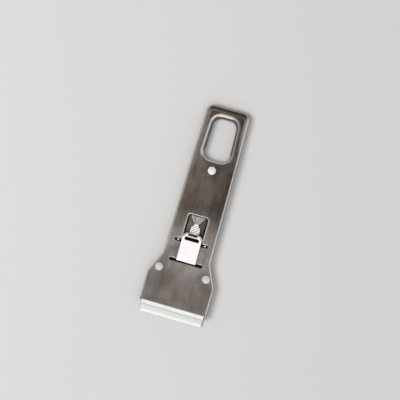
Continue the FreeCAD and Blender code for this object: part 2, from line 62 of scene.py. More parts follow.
# %% Place the camera
PICTURE = 400
PIXELS_PER_MM = 1.5773
TURN = math.radians(16.0)
DISTANCE = 1000 * MM
AIM = Vector((-2.2, 8.14, 4.5)) * MM
FROM_ABOVE = Vector((0.08, -0.05, 1.0))
SENSOR, NEAREST = 36.0, 10 * MM

towards = FROM_ABOVE.normalized()
upwards = Vector((-math.sin(TURN), math.cos(TURN), 0.0))
upwards = (upwards - upwards.project(towards)).normalized()
rightwards = upwards.cross(towards)
camera = bpy.data.objects.new("camera", bpy.data.cameras.new("camera"))
bpy.context.scene.collection.objects.link(camera)
camera.data.sensor_width = SENSOR
camera.data.lens = SENSOR * DISTANCE * PIXELS_PER_MM / (PICTURE * MM)
camera.data.clip_start = NEAREST
axes = Matrix((rightwards, upwards, towards)).transposed().to_4x4()
camera.matrix_world = Matrix.Translation(AIM + towards * DISTANCE) @ axes
bpy.context.scene.camera = camera
print("lens in mm:", round(camera.data.lens, 1))

# %% [markdown]
# ## Light
# Polished and satin metal shows what stands around it. Here that is a dark warm ceiling with a
# paler ring, one big soft light on the blade's side, grey walls left and right and a bright
# horizon. A flat face mirrors the ceiling and looks dark, while a face that leans towards the
# blade mirrors the light and turns white. The sky of the scene holds all of this. A wide fill
# lamp that metal doesn't mirror gives the floor and the pale rivets their plain daylight.

# %% Levels of the sky, and where they change, in degrees or as a share of the direction
CEILING_LEVEL, DARK_LEVEL, RING_LEVEL, LIGHT_LEVEL = 0.085, 0.16, 0.42, 1.1
LEFT_WALL, RIGHT_WALL, HORIZON, BACK_HORIZON = 0.4, 0.72, 0.45, 0.85
CEILING_TO_DARK, RING_AT, WALLS_FROM, HORIZON_FROM = (26, 40), (10, 16, 24, 34), (8, 20), (66, 80)
LIGHT_LEAN, LIGHT_SWING = (-3, 12, 84, 90), (-40, -22, 32, 48)
BESIDE, LEFT_TO_RIGHT, FRONT_TO_BACK = (-0.05, 0.1), (-0.1, 0.1), (0.2, 0.6)
WARM, WHITE, WARM_TO_WHITE = (1.0, 0.78, 0.66, 1.0), (1.0, 1.0, 1.0, 1.0), (0.1, 0.5)
scene = bpy.context.scene
scene.view_settings.view_transform = "Standard"
scene.world = bpy.data.worlds.new("studio")
scene.world.use_nodes = True
sky = scene.world.node_tree
sky.nodes.clear()


# %% Helpers for the sky
def sky_math(operation, first, second=0.0):
    step = sky.nodes.new("ShaderNodeMath")
    step.operation = operation
    for socket, given in zip(step.inputs, (first, second)):
        if isinstance(given, (int, float)):
            socket.default_value = given
        else:
            sky.links.new(given, socket)
    return step.outputs[0]


def sky_step(given, start, end, low=0.0, high=1.0):
    step = sky.nodes.new("ShaderNodeMapRange")
    step.interpolation_type = "SMOOTHSTEP"
    sky.links.new(given, step.inputs["Value"])
    for name, each in zip(("From Min", "From Max", "To Min", "To Max"), (start, end, low, high)):
        step.inputs[name].default_value = each
    return step.outputs["Result"]


def sky_turn(angle, degrees, low=0.0, high=1.0):
    start, end = (math.radians(each) for each in degrees)
    return sky_step(angle, start, end, low, high)


def between(angle, degrees):
    return sky_math("MULTIPLY", sky_turn(angle, degrees[:2]), sky_turn(angle, degrees[2:], 1.0, 0.0))


# %% Studio sky
direction = sky.nodes.new("ShaderNodeSeparateXYZ")
sky.links.new(sky.nodes.new("ShaderNodeTexCoord").outputs["Generated"], direction.inputs[0])
side, along, height = direction.outputs
from_top = sky_math("ARCCOSINE", height)
lean = sky_math("ARCTAN2", sky_math("MULTIPLY", along, -1.0), height)
swing = sky_math("ARCTAN2", side, height)
light = sky_math("MULTIPLY", between(lean, LIGHT_LEAN), between(swing, LIGHT_SWING))
ceiling = sky_turn(from_top, CEILING_TO_DARK, CEILING_LEVEL, DARK_LEVEL)
ring = sky_math("MULTIPLY", between(from_top, RING_AT), RING_LEVEL)
sideways = sky_math("SUBTRACT", sky_math("ABSOLUTE", side), sky_math("ABSOLUTE", along))
walls = sky_math("MULTIPLY", sky_turn(from_top, WALLS_FROM), sky_step(sideways, *BESIDE))
walls = sky_math("MULTIPLY", walls, sky_step(side, *LEFT_TO_RIGHT, LEFT_WALL, RIGHT_WALL))
far = sky_step(along, *FRONT_TO_BACK, HORIZON, BACK_HORIZON)
horizon = sky_math("MULTIPLY", sky_turn(from_top, HORIZON_FROM), far)
level = sky_math("MAXIMUM", sky_math("MAXIMUM", ceiling, ring), sky_math("MAXIMUM", walls, horizon))
level = sky_math("MAXIMUM", level, sky_math("ADD", ceiling, sky_math("MULTIPLY", light, LIGHT_LEVEL)))
warmth = sky.nodes.new("ShaderNodeMix")
warmth.data_type = "RGBA"
sky.links.new(sky_step(level, *WARM_TO_WHITE), warmth.inputs["Factor"])
warmth.inputs["A"].default_value = WARM
warmth.inputs["B"].default_value = WHITE
background = sky.nodes.new("ShaderNodeBackground")
sky.links.new(next(s for s in warmth.outputs if s.type == "RGBA"), background.inputs["Color"])
sky.links.new(level, background.inputs["Strength"])
sky.links.new(background.outputs[0], sky.nodes.new("ShaderNodeOutputWorld").inputs["Surface"])
print("sky of", len(sky.nodes), "nodes")

# %% Fill lamp
FILL_SIZE, FILL_POWER, FILL_PLACE = 0.7, 13.0, Vector((-0.8, -0.25, 1.15))
fill = bpy.data.objects.new("fill", bpy.data.lights.new("fill", "AREA"))
scene.collection.objects.link(fill)
fill.data.size = FILL_SIZE
fill.data.energy = FILL_POWER
fill.location = FILL_PLACE
fill.rotation_euler = FILL_PLACE.to_track_quat("Z", "Y").to_euler()
fill.visible_glossy = False
print("fill lamp of", FILL_POWER, "W,", round(FILL_PLACE.length, 2), "m away")

# %% [markdown]
# ## Floor
# The floor is plain and pale. Part of its white comes from Light Path, for what the camera and
# the metal see of it, so it can be near white without more light on the scraper, and the rest
# is an ordinary matt surface that keeps the shadow.

# %% Pale floor
FLOOR_HALF, FLOOR_DROP, FLOOR_GLOW = 12.0, 0.05 * MM, 0.1
FLOOR_COLOUR = (0.64, 0.64, 0.635, 1.0)
corners = [(-1, -1), (1, -1), (1, 1), (-1, 1)]
floor_points = [(x * FLOOR_HALF, y * FLOOR_HALF, -FLOOR_DROP) for x, y in corners]
floor_mesh = bpy.data.meshes.new("floor")
floor_mesh.from_pydata(floor_points, [], [(0, 1, 2, 3)])
floor = bpy.data.objects.new("floor", floor_mesh)
scene.collection.objects.link(floor)
pale = bpy.data.materials.new("pale floor")
pale.use_nodes = True
pale_tree = pale.node_tree
pale_tree.nodes.clear()
matt = pale_tree.nodes.new("ShaderNodeBsdfDiffuse")
white = pale_tree.nodes.new("ShaderNodeEmission")
for surface in (matt, white):
    surface.inputs["Color"].default_value = FLOOR_COLOUR
seen = pale_tree.nodes.new("ShaderNodeLightPath").outputs
share = None
for ray in ("Is Camera Ray", "Is Glossy Ray", "Is Transmission Ray"):
    step = pale_tree.nodes.new("ShaderNodeMath")
    step.operation = "MULTIPLY_ADD"
    pale_tree.links.new(seen[ray], step.inputs[0])
    step.inputs[1].default_value = FLOOR_GLOW
    step.inputs[2].default_value = 0.0
    if share:
        pale_tree.links.new(share, step.inputs[2])
    step.use_clamp = True
    share = step.outputs[0]
blend = pale_tree.nodes.new("ShaderNodeMixShader")
for given, socket in zip((share, matt.outputs[0], white.outputs[0]), blend.inputs):
    pale_tree.links.new(given, socket)
pale_tree.links.new(blend.outputs[0], pale_tree.nodes.new("ShaderNodeOutputMaterial").inputs["Surface"])
floor_mesh.materials.append(pale)
print("floor of", 2 * FLOOR_HALF, "m")

# %% [markdown]
# ## A small kit for finishes
# Each finish is a tree of shader nodes around one Principled shader. The patterns read Object
# coordinates, which here are the scraper's own metres, so a brushed line that should be 0.7 mm
# wide and 40 mm long is a noise stretched by 1 / 0.7 mm one way and 1 / 40 mm the other. Worn
# edges are found by a Bevel node: where its rounded normal leaves the face's own, an edge is near.

# %% Node helpers
EDGE_SEEN = (0.93, 0.999)


class Finish:
    def __init__(self, name, metallic):
        self.material = bpy.data.materials.new(name)
        self.material.use_nodes = True
        self.tree = self.material.node_tree
        self.shader = self.tree.nodes["Principled BSDF"]
        self.shader.inputs["Metallic"].default_value = metallic
        self.place = self.add("TexCoord").outputs["Object"]

    def add(self, kind, **settings):
        made = self.tree.nodes.new("ShaderNode" + kind)
        for key, setting in settings.items():
            setattr(made, key, setting)
        return made

    def feed(self, socket, given):
        if isinstance(given, bpy.types.NodeSocket):
            self.tree.links.new(given, socket)
        else:
            socket.default_value = given

    def noise(self, patch, detail=3.0, rough=0.55, turn=0.0):
        mapping = self.add("Mapping")
        self.feed(mapping.inputs["Vector"], self.place)
        self.feed(mapping.inputs["Rotation"], (0.0, 0.0, turn))
        self.feed(mapping.inputs["Scale"], tuple(1 / (size * MM) for size in patch))
        made = self.add("TexNoise")
        self.feed(made.inputs["Vector"], mapping.outputs[0])
        for name, given in (("Scale", 1.0), ("Detail", detail), ("Roughness", rough)):
            self.feed(made.inputs[name], given)
        return made.outputs[0]

    def spread(self, given, low, high, start=0.3, end=0.7):
        made = self.add("MapRange", interpolation_type="SMOOTHSTEP")
        names = ("Value", "From Min", "From Max", "To Min", "To Max")
        for name, each in zip(names, (given, start, end, low, high)):
            self.feed(made.inputs[name], each)
        return made.outputs[0]

    def zone(self, place, limits, before=0.0, after=1.0):
        return self.spread(place, before, after, limits[0] * MM, limits[1] * MM)

    def math(self, operation, first, second):
        made = self.add("Math", operation=operation)
        self.feed(made.inputs[0], first)
        self.feed(made.inputs[1], second)
        return made.outputs[0]

    def tint(self, share, first, second):
        made = self.add("Mix", data_type="RGBA")
        self.feed(made.inputs["Factor"], share)
        for socket, given in zip([s for s in made.inputs if s.type == "RGBA"], (first, second)):
            self.feed(socket, given if isinstance(given, bpy.types.NodeSocket) else (*given, 1.0))
        return next(s for s in made.outputs if s.type == "RGBA")

    def scaled(self, colour, share):
        made = self.add("VectorMath", operation="SCALE")
        self.feed(made.inputs[0], colour)
        self.feed(made.inputs["Scale"], share)
        return made.outputs[0]

    def along(self, axis):
        parts = self.add("SeparateXYZ")
        self.feed(parts.inputs[0], self.place)
        return parts.outputs[axis]

    def facing_up(self):
        parts = self.add("SeparateXYZ")
        self.feed(parts.inputs[0], self.add("NewGeometry").outputs["Normal"])
        return parts.outputs[2]

    def near(self, middle, full, none):
        level = self.add("CombineXYZ")
        self.feed(level.inputs[0], self.along(0))
        self.feed(level.inputs[1], self.along(1))
        away = self.add("VectorMath", operation="DISTANCE")
        self.feed(away.inputs[0], level.outputs[0])
        self.feed(away.inputs[1], middle)
        return self.zone(away.outputs["Value"], (full, none), 1.0, 0.0)

    def edges(self, radius):
        rounded = self.add("Bevel", samples=4)
        self.feed(rounded.inputs["Radius"], radius * MM)
        dot = self.add("VectorMath", operation="DOT_PRODUCT")
        self.feed(dot.inputs[0], rounded.outputs[0])
        self.feed(dot.inputs[1], self.add("NewGeometry").outputs["Normal"])
        return self.spread(dot.outputs["Value"], 1.0, 0.0, *EDGE_SEEN)

    def bump(self, height, depth, strength=1.0, under=None):
        made = self.add("Bump")
        self.feed(made.inputs["Height"], height)
        self.feed(made.inputs["Distance"], depth * MM)
        self.feed(made.inputs["Strength"], strength)
        if under:
            self.feed(made.inputs["Normal"], under)
        return made.outputs[0]

    def done(self, colour, roughness, normal):
        self.feed(self.shader.inputs["Base Color"], colour)
        self.feed(self.shader.inputs["Roughness"], roughness)
        self.feed(self.shader.inputs["Normal"], normal)
        print("finish:", self.material.name, "with", len(self.tree.nodes), "nodes")
        return self.material


# %% [markdown]
# ## Brushed steel of the shell
# The shell is stainless sheet, brushed along the handle before it was stamped. Long fine streaks lie under
# slow cloudy patches, and the handle is browner than the head. Faces that lean, the lip and a band along the
# rims of the head are painted paler, partly wear from the press and partly painted highlight. The handle is
# painted lighter on its left side and darker on its right, a painted reflection. Steep sides and the rim of
# the hang end get painted shade. The rivet seats, the wall of the hang hole and the front edge of the lip get
# painted shadow, and the faces inside the scraper are painted dark as shade.

# %% Tones of the shell, painted light and shade among them, and where they change along it, in mm
HEAD_TONE, MIDDLE_TONE, HANDLE_TONE = (0.44, 0.405, 0.38), (0.70, 0.665, 0.635), (0.42, 0.365, 0.32)
EDGE_TONE, LIP_SHEEN_TONE, LIP_SHADOW_TONE = (0.86, 0.85, 0.835), (0.86, 0.86, 0.845), (0.20, 0.20, 0.19)
SHADOW_TONE, INSIDE_SHADE_TONE, PLATE_TONE = (0.13, 0.122, 0.115), (0.06, 0.058, 0.056), (0.54, 0.52, 0.50)
WORN_SHEEN_TONE, ROLLED_TONE = (0.70, 0.69, 0.67), (0.66, 0.64, 0.61)
HEAD_TO_MIDDLE, MIDDLE_TO_HANDLE, HANG_END = (-48, -32), (-22, 6), (64.0, 68.6)
HANDLE_SHEEN_SIDES, LEFT_SHEEN, RIGHT_SHADE = (-13, 13), 1.2, 0.72
LIP_UNTIL, LIP_SHADOW_UNTIL = (-62.9, -62.0), (-64.55, -64.3)
HOLE_SIDE, HOLE_FRONT, HOLE_BACK = (10.5, 11.0), (38.0, 42.0), (64.3, 64.8)

# %% Streaks, wear and painted light and shade of the shell: patches and radii in mm, and how level a face is
GRAIN, BANDS, CLOUDS, SPECKS = (0.16, 18.0, 0.16), (2.2, 40.0, 2.2), (9.0, 13.0, 9.0), (0.7, 1.4, 0.7)
STREAK_SHARES, UNEVEN = (0.2, 0.22, 0.28, 0.3), (0.8, 1.2, 0.34, 0.66)
SHEEN_LEVEL, STEEP_LEVEL, WALL_LEVEL, INSIDE_LEVEL = (0.86, 0.985), (0.35, 0.7), (0.72, 0.84), (0.2, 0.5)
RIM_SHEEN, EDGE_WEAR, SEAT_SHADOW = 1.4, 0.3, 0.45
EDGE_SHARE, LIP_SHADOW_SHARE, SHADOW_SHARE, STEEP_SHADE, END_SHADE = 0.6, 0.75, 0.85, 0.42, 0.5
SMOOTHER, ROUGHER, INSIDE_ROUGH = -0.03, 0.05, 0.3
STREAK_DEPTH, GRAIN_BUMP, SPECK_BUMP = 0.003, 0.35, 0.3
RIVET_NODES = ("handle_rivet", "left_shoulder_rivet", "right_shoulder_rivet")


def round_box(node):
    low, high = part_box(node)
    return low.z, high.z, ((low.x + high.x) / 2, (low.y + high.y) / 2, 0.0), (high.x - low.x) / 2


def streaks(finish):
    grain = finish.noise(GRAIN, detail=4.0, rough=0.6)
    clouds = finish.noise(CLOUDS, detail=3.0, rough=0.5)
    specks = finish.noise(SPECKS, detail=3.0)
    uneven = 0.0
    for pattern, share in zip((grain, finish.noise(BANDS, detail=3.0), clouds, specks), STREAK_SHARES):
        uneven = finish.math("ADD", uneven, finish.math("MULTIPLY", pattern, share))
    return grain, clouds, specks, finish.spread(uneven, *UNEVEN)


# Painted shadow: rings round the rivet seats and on the steep wall of the hang hole, except its front.
def painted_shadow(finish, level):
    along = finish.along(1)
    spots = finish.spread(level, 1.0, 0.0, *WALL_LEVEL)
    aside = finish.math("ABSOLUTE", finish.along(0), 0.0)
    for edge in (
        finish.zone(aside, HOLE_SIDE, 1.0, 0.0),
        finish.zone(along, HOLE_FRONT),
        finish.zone(along, HOLE_BACK, 1.0, 0.0),
    ):
        spots = finish.math("MULTIPLY", spots, edge)
    for node in RIVET_NODES:
        _, _, middle, head = round_box(node)
        seat = finish.near(middle, head / MM, head / MM + SEAT_SHADOW)
        spots = finish.math("MAXIMUM", spots, seat)
    return finish.math("MULTIPLY", spots, SHADOW_SHARE)


# %% Shell, plate and edge finishes
def brushed_steel(name, head, middle, handle, sheen_tone, rough, inside):
    finish = Finish(name, 1.0)
    along = finish.along(1)
    grain, clouds, specks, uneven = streaks(finish)
    off_head = finish.zone(along, HEAD_TO_MIDDLE)
    colour = finish.tint(off_head, head, middle)
    # Painted reflection: the handle is painted lighter on its left side and darker on its right.
    handle = finish.scaled(handle, finish.zone(finish.along(0), HANDLE_SHEEN_SIDES, LEFT_SHEEN, RIGHT_SHADE))
    colour = finish.tint(finish.zone(along, MIDDLE_TO_HANDLE), colour, handle)
    colour = finish.scaled(colour, uneven)
    facing = finish.facing_up()
    level = finish.math("ABSOLUTE", facing, 0.0)
    # Painted highlight, partly wear: faces that lean and a band along the rims of the head are painted paler.
    rim_sheen = finish.math("MULTIPLY", finish.edges(RIM_SHEEN), finish.math("SUBTRACT", 1.0, off_head))
    wear_and_sheen = finish.math("MAXIMUM", finish.spread(level, 1.0, 0.0, *SHEEN_LEVEL), rim_sheen)
    colour = finish.tint(wear_and_sheen, colour, sheen_tone)
    colour = finish.tint(finish.math("MULTIPLY", finish.edges(EDGE_WEAR), EDGE_SHARE), colour, EDGE_TONE)
    # Painted shade: steep faces are darkened.
    colour = finish.scaled(colour, finish.spread(level, STEEP_SHADE, 1.0, *STEEP_LEVEL))
    # Painted shade: the rounded rim of the hang end is darkened.
    colour = finish.scaled(colour, finish.zone(along, HANG_END, 1.0, END_SHADE))
    # Painted highlight, partly polish: the lip is painted near white.
    colour = finish.tint(finish.zone(along, LIP_UNTIL, 1.0, 0.0), colour, LIP_SHEEN_TONE)
    # Painted shadow: a dark line along the front edge of the lip, over the blade.
    colour = finish.tint(finish.zone(along, LIP_SHADOW_UNTIL, LIP_SHADOW_SHARE, 0.0), colour, LIP_SHADOW_TONE)
    # Painted shadow in the rivet seats and on the wall of the hang hole.
    colour = finish.tint(painted_shadow(finish, level), colour, SHADOW_TONE)
    # Painted shade: faces inside the scraper are painted dark, and made rougher.
    painted_shade = finish.spread(finish.math("MULTIPLY", facing, inside), 0.0, 1.0, *INSIDE_LEVEL)
    colour = finish.tint(painted_shade, colour, INSIDE_SHADE_TONE)
    roughness = finish.spread(clouds, rough + SMOOTHER, rough + ROUGHER)
    roughness = finish.math("ADD", roughness, finish.math("MULTIPLY", painted_shade, INSIDE_ROUGH))
    normal = finish.bump(grain, STREAK_DEPTH, GRAIN_BUMP)
    return finish.done(colour, roughness, finish.bump(specks, STREAK_DEPTH, SPECK_BUMP, normal))


shell_tones = (HEAD_TONE, MIDDLE_TONE, HANDLE_TONE, WORN_SHEEN_TONE)
plate_tones = (PLATE_TONE, PLATE_TONE, PLATE_TONE, WORN_SHEEN_TONE)
edge_tones = (EDGE_TONE, EDGE_TONE, ROLLED_TONE, ROLLED_TONE)
shell_finish = brushed_steel("brushed shell steel", *shell_tones, rough=0.2, inside=-1.0)
plate_finish = brushed_steel("brushed plate steel", *plate_tones, rough=0.3, inside=1.0)
edge_finish = brushed_steel("rolled edge steel", *edge_tones, rough=0.22, inside=-1.0)

# %% [markdown]
# ## The other metals
# The rivets are pale tumbled aluminium, so their heads are soft and slightly blotchy, and the rivets at the
# shoulders get painted shade. The carrier is painted near black, partly as blackened strip and partly as
# painted shade, so the slots look black. The blade is ground across its width and left bright. The spring
# leaf is polished, with faint rolling lines and small scuffs from thumbs. An attribute on its mesh says where
# shade is painted on it.

# %% Tones of the other metals, painted shade among them
RIVET_TONES, RIVET_EDGE_TONE = ((0.80, 0.755, 0.73), (0.90, 0.875, 0.86)), (0.70, 0.67, 0.65)
RIVET_SHADE_ALONG, SHOULDER_RIVET_SHADE = (-30, 20), 0.76
CARRIER_SHADE_TONES, CARRIER_EDGE_TONE = ((0.022, 0.021, 0.02), (0.045, 0.042, 0.04)), (0.34, 0.33, 0.32)
BLADE_TONES, BLADE_CLOUD_TONE = ((0.76, 0.815, 0.785), (0.88, 0.92, 0.90)), (0.84, 0.885, 0.86)
BEVEL_TONE, BEVEL_UNTIL = (0.89, 0.905, 0.895), (-67.95, -67.85)
SPRING_TONES = ((0.885, 0.875, 0.855), (0.93, 0.92, 0.905))
SHADE_TONE, DEEP_SHADE_TONE = (0.18, 0.171, 0.163), (0.025, 0.024, 0.023)


# %% Rivet, carrier, blade and spring finishes
def tumbled_metal():
    finish = Finish("tumbled rivet metal", 0.2)
    dents = finish.noise((0.9, 0.9, 0.9), detail=3.0)
    grit = finish.noise((0.12, 0.12, 0.12), detail=2.0)
    colour = finish.tint(finish.spread(dents, 0.0, 1.0), *RIVET_TONES)
    # Painted shade: the rivets at the shoulders are darker than the one on the handle.
    colour = finish.scaled(colour, finish.zone(finish.along(1), RIVET_SHADE_ALONG, SHOULDER_RIVET_SHADE, 1.0))
    colour = finish.tint(finish.math("MULTIPLY", finish.edges(EDGE_WEAR), 0.5), colour, RIVET_EDGE_TONE)
    normal = finish.bump(dents, 0.03, 0.6, finish.bump(grit, 0.006, 0.5))
    return finish.done(colour, finish.spread(grit, 0.36, 0.52), normal)


def black_shade_strip():
    finish = Finish("black carrier steel with painted shade", 0.85)
    rolled = finish.noise((0.7, 24.0, 0.7), detail=3.0)
    patches = finish.noise((5.0, 6.0, 5.0), detail=3.0)
    # Painted shade, partly blackened finish: the carrier is near black, so the slots show black.
    colour = finish.tint(finish.spread(patches, 0.0, 1.0), *CARRIER_SHADE_TONES)
    colour = finish.tint(finish.math("MULTIPLY", finish.edges(0.2), 0.7), colour, CARRIER_EDGE_TONE)
    return finish.done(colour, finish.spread(rolled, 0.34, 0.5), finish.bump(rolled, 0.01, 0.5))


def ground_steel():
    finish = Finish("ground blade steel", 0.35)
    ground = finish.noise((14.0, 0.16, 0.5), detail=4.0, rough=0.65)
    clouds = finish.noise((9.0, 3.0, 3.0), detail=2.0)
    colour = finish.tint(finish.spread(ground, 0.0, 1.0), *BLADE_TONES)
    colour = finish.tint(finish.spread(clouds, 0.0, 0.5), colour, BLADE_CLOUD_TONE)
    colour = finish.tint(finish.zone(finish.along(1), BEVEL_UNTIL, 1.0, 0.0), colour, BEVEL_TONE)
    return finish.done(colour, finish.spread(ground, 0.26, 0.4), finish.bump(ground, 0.004, 0.5))


def polished_spring():
    finish = Finish("polished spring steel", 1.0)
    rolled = finish.noise((0.35, 16.0, 0.35), detail=3.0)
    scuffs = finish.noise((3.0, 0.25, 1.0), detail=4.0, rough=0.7, turn=0.5)
    smudge = finish.noise((4.0, 5.0, 4.0), detail=2.0)
    colour = finish.tint(finish.spread(smudge, 0.0, 1.0), *SPRING_TONES)
    # Painted shade from the mesh's attribute: 1 gives shade and 2 deep shadow.
    painted_shade = finish.add("Attribute", attribute_name="painted_shade").outputs["Fac"]
    colour = finish.tint(painted_shade, colour, SHADE_TONE)
    colour = finish.tint(finish.math("SUBTRACT", painted_shade, 1.0), colour, DEEP_SHADE_TONE)
    roughness = finish.math("ADD", finish.spread(scuffs, 0.1, 0.2), finish.math("MULTIPLY", painted_shade, 0.2))
    return finish.done(colour, roughness, finish.bump(rolled, 0.002, 0.4))


rivet_finish = tumbled_metal()
carrier_finish = black_shade_strip()
blade_finish = ground_steel()
spring_finish = polished_spring()

# %% [markdown]
# ## Sheet pieces straight from the solids
# The shell, the back plate, the carrier and the blade are exact as drawn, so their meshes are
# copies of the solids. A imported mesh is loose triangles, so the copy is merged first. Then each
# corner gets its own normal: where a flat meets a bend both take the flat's normal, and elsewhere
# the faces around a point are weighted by their size, so flats stay flat and bends look round.


# %% Helpers that finish a piece
def finished(name, mesh, material, body, slot, *nodes):
    mesh.name = name
    if not mesh.materials:
        mesh.materials.append(material)
    piece = bpy.data.objects.new(name, mesh)
    scene.collection.objects.link(piece)
    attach(piece, body)
    if nodes:
        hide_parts(*nodes)
    print(f"{name}: {len(mesh.polygons)} faces on {body}")
    return piece


def plain_mesh(holder):
    ready = holder.evaluated_get(bpy.context.evaluated_depsgraph_get())
    result = bpy.data.meshes.new_from_object(ready)
    bpy.data.objects.remove(holder)
    return result


def smooth(mesh, degrees):
    mesh.polygons.foreach_set("use_smooth", [True] * len(mesh.polygons))
    mesh.set_sharp_from_angle(angle=math.radians(degrees))
    return mesh


# %% Copy of a solid
MERGE = 0.002 * MM
FLAT_ENOUGH, FLAT_WEIGHT = 0.99999, 1000.0
UP = Vector((0.0, 0.0, 1.0))


def merged(node):
    work = bmesh.new()
    work.from_mesh(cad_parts[node].data)
    bmesh.ops.remove_doubles(work, verts=work.verts, dist=MERGE)
    return work


def flattened(work, fold, *flats):
    mesh = bpy.data.meshes.new("sheet")
    work.to_mesh(mesh)
    work.free()
    smooth(mesh, fold)
    limit = math.cos(math.radians(fold))
    leans = [face.normal.copy() for face in mesh.polygons]
    weights = []
    for face in mesh.polygons:
        level = max(abs(face.normal.dot(flat)) for flat in (UP, *flats)) > FLAT_ENOUGH
        weights.append(face.area * (FLAT_WEIGHT if level else 1.0))
    around = [[] for _ in mesh.vertices]
    for face in mesh.polygons:
        for corner in face.vertices:
            around[corner].append(face.index)
    normals = []
    for face in mesh.polygons:
        for corner in face.vertices:
            total = Vector()
            for other in around[corner]:
                if leans[face.index].dot(leans[other]) > limit:
                    total += leans[other] * weights[other]
            normals.append(total.normalized())
    mesh.normals_split_custom_set(normals)
    return mesh


# %% Back plate, carrier and blade
SHEET_FOLD, BLADE_FOLD = 28, 3
plate_mesh, carrier_mesh = (flattened(merged(node), SHEET_FOLD) for node in ("back_plate", "blade_carrier"))
blade_mesh = flattened(merged("blade"), BLADE_FOLD)
finished("flat_back_plate", plate_mesh, plate_finish, "housing", "plate_steel", "back_plate")
finished("sliding_carrier", carrier_mesh, carrier_finish, "carriage", "carrier_steel", "blade_carrier")
finished("ground_blade", blade_mesh, blade_finish, "carriage", "blade_steel", "blade")

# %% [markdown]
# ## Shell with a softly rolled end
# The press draws the hang end down a little more than the sides, so its light runs in a broad
# band round the corners. A flat face has no points inside to move, so the end is first cut into
# a fine grid by many planes. Each point is then lowered by its distance from the outline.

# %% Shell sizes, in mm from the front edge of the lip, which lies at MOUTH
MOUTH = -64.7
END_AT, END_HALF, END_TAPER, END_RADIUS = 134.0, 14.3, 0.0121, 5.0
ROLL_WIDTH, ROLL_CURVE, ROLL_FROM, ROLL_FULL = 4.3, 0.12, 98.0, 122.0
GRID, CUT_MARGIN, CUT_NEAR = 0.7, 3.0, 0.0005 * MM
SHELL_LOW, SHELL_TOP, SHELL_FOLD = 0.3, 5.6, 34
LIP_DROP, LIP_LENGTH = 1.9, 2.4


def ease(low, high, given):
    share = np.clip((given - low) / (high - low), 0, 1)
    return share * share * (3 - 2 * share)


def from_outline(x, y):
    half = END_HALF + (END_AT - y) * END_TAPER
    over_x, over_y = abs(x) - (half - END_RADIUS), y - (END_AT - END_RADIUS)
    if over_x > 0 and over_y > 0:
        return END_RADIUS - math.hypot(over_x, over_y)
    return min(half - abs(x), END_AT - y)


# %% Shell
shell = merged("front_shell")
cuts = [((0, (y + MOUTH) * MM, 0), (0, 1, 0)) for y in np.arange(ROLL_FROM, END_AT, GRID)]
cuts += [((x * MM, 0, 0), (1, 0, 0)) for x in np.arange(-END_HALF, END_HALF, GRID)]
for place, across in cuts:
    faces = [f for f in shell.faces if f.calc_center_median().y > (ROLL_FROM - CUT_MARGIN + MOUTH) * MM]
    region = faces + list({e for f in faces for e in f.edges}) + list({v for f in faces for v in f.verts})
    bmesh.ops.bisect_plane(shell, geom=region, dist=CUT_NEAR, plane_co=place, plane_no=across)
for point in shell.verts:
    x, y, z = (c / MM for c in point.co)
    inward = max(0.0, ROLL_WIDTH - from_outline(x, y - MOUTH)) if y - MOUTH > ROLL_FROM else 0.0
    drop = ROLL_CURVE / 2 * inward**2 * float(ease(ROLL_FROM, ROLL_FULL, y - MOUTH))
    point.co.z -= drop * max(0.0, z - SHELL_LOW) / (SHELL_TOP - SHELL_LOW) * MM
lip_lean = Vector((0.0, -LIP_DROP, LIP_LENGTH)).normalized()
shell_mesh = flattened(shell, SHELL_FOLD, lip_lean)
finished("stamped_shell", shell_mesh, shell_finish, "housing", "shell_steel", "front_shell")

# %% [markdown]
# ## Turned pieces
# Rivets, spacer sleeves and blade pegs are all round, so one Geometry Nodes tree turns any
# profile about its own axis: it makes a grid with a column for each profile point, wraps it
# round, and sets it at its place. A lathe modifier would do for one piece, but the tree is
# shared by eight of them and keeps its sizes as named inputs.

# %% Helpers for trees of Geometry Nodes
JOIN = 0.001 * MM
TURNED_FOLD = 35


def new_tree(name, result, **inputs):
    tree = bpy.data.node_groups.new(name, "GeometryNodeTree")
    for label, kind in inputs.items():
        tree.interface.new_socket(label, in_out="INPUT", socket_type="NodeSocket" + kind)
    tree.interface.new_socket(result, in_out="OUTPUT", socket_type="NodeSocketGeometry")

    def add(kind, given=None, **settings):
        made = tree.nodes.new(kind)
        for key, setting in settings.items():
            setattr(made, key, setting)
        for label, each in (given or {}).items():
            if isinstance(each, bpy.types.NodeSocket):
                tree.links.new(each, made.inputs[label])
            else:
                made.inputs[label].default_value = each
        return made.outputs

    return tree, add, add("NodeGroupInput")


def end_tree(tree, add, geometry, material):
    real = add("GeometryNodeRealizeInstances", {"Geometry": geometry})[0]
    dressed = add("GeometryNodeSetMaterial", {"Geometry": real, "Material": material})[0]
    add("NodeGroupOutput", {0: dressed})
    return tree


def grown(tree, points, inputs):
    line = bpy.data.meshes.new("line")
    line.from_pydata(points, [(i, i + 1) for i in range(len(points) - 1)], [])
    holder = bpy.data.objects.new("line", line)
    scene.collection.objects.link(holder)
    modifier = holder.modifiers.new(tree.name, "NODES")
    modifier.node_group = tree
    sockets = {s.name: s.identifier for s in tree.interface.items_tree if s.in_out == "INPUT"}
    for name, given in inputs.items():
        modifier[sockets[name]] = given
    return plain_mesh(holder)


